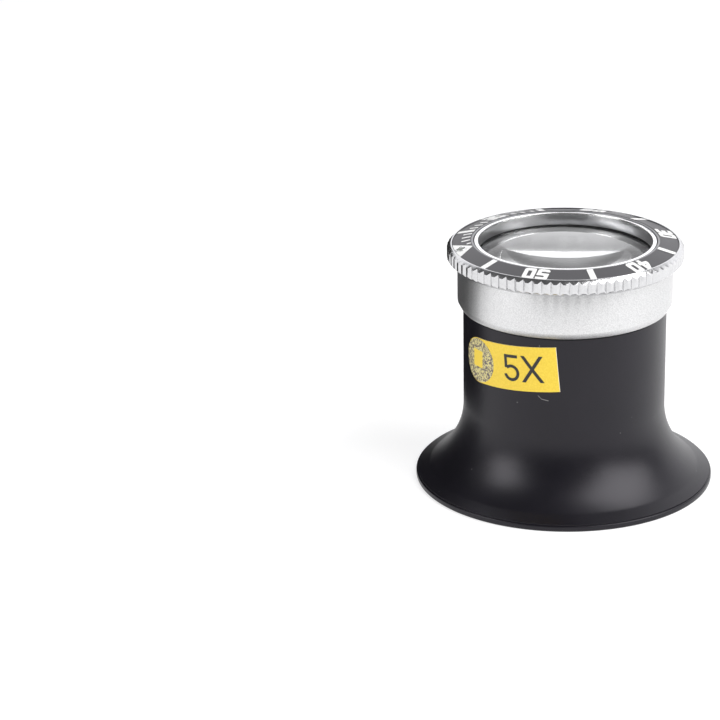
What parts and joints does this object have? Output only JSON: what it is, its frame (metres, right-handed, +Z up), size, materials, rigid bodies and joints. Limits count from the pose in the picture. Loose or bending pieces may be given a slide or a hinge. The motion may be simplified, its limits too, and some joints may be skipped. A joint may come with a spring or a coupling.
{
  "type": "jewellers loupe",
  "caption": "Standing eye loupe: flared black eye cup with a side window, screwed-on silver lens head, and a coin-edged minute bezel that turns.",
  "frame": {"origin": "centre of the eye cup's rim, on the surface that the loupe stands on", "axes": "+Z up along the optical axis, from the eye cup to the lens; the side window faces +Y and the label faces -Y and -X"},
  "size_m": [0.0508, 0.0508, 0.0424],
  "materials": {
    "black_anodised_aluminium": "black anodised, fine matt",
    "yellow_label": "printed film label, satin",
    "black_print": "matt ink",
    "speckled_foil": "embossed speckled foil",
    "black_rubber": "moulded",
    "bead_blasted_aluminium": "bead blasted, clear anodised, bright turned lip",
    "optical_glass": "polished",
    "black_ring": "black anodised",
    "spring_steel": "rolled",
    "bezel_steel": "turned, satin",
    "adhesive_film": "double-sided film",
    "grey_insert": "dark grey anodised, matt",
    "marking_paint": "silvery white print",
    "polished_steel": "polished",
    "pearl_glass": "clear dome over pale paint"
  },
  "bodies": {
    "eyecup": {"eyecup": "black_anodised_aluminium", "label": "yellow_label", "label_figure": "black_print", "label_seal": "speckled_foil"},
    "thread_gasket": {"thread_gasket": "black_rubber"},
    "lens_head": {"lens_cell": "bead_blasted_aluminium", "lens": "optical_glass", "lens_cushion": "black_rubber", "lens_retaining_ring": "black_ring", "click_spring": "spring_steel"},
    "bezel": {"bezel_ring": "bezel_steel", "bezel_snap_wire": "spring_steel", "insert_adhesive": "adhesive_film", "bezel_insert": "grey_insert", "numeral_10": "marking_paint", "numeral_20": "marking_paint", "numeral_30": "marking_paint", "numeral_40": "marking_paint", "numeral_50": "marking_paint", "five_minute_bars": "marking_paint", "minute_ticks": "marking_paint", "zero_triangle": "marking_paint", "pearl_cup": "polished_steel", "pearl": "pearl_glass"}
  },
  "joints": [
    {"name": "head_lift", "type": "slide", "parent": "eyecup", "child": "thread_gasket", "axis": [0, 0, 1], "range_m": [0, 0.003]},
    {"name": "head_unscrew", "type": "hinge", "parent": "thread_gasket", "child": "lens_head", "pos_m": [0, 0, 0.029], "axis": [0, 0, 1], "range_deg": [0, 1440]},
    {"name": "bezel_turn", "type": "hinge", "parent": "lens_head", "child": "bezel", "pos_m": [0, 0, 0.04], "axis": [0, 0, 1], "continuous": true}
  ],
  "couplings": [
    {"joint": "head_lift", "follows": "head_unscrew", "m_per_rad": 0.00011937}
  ]
}
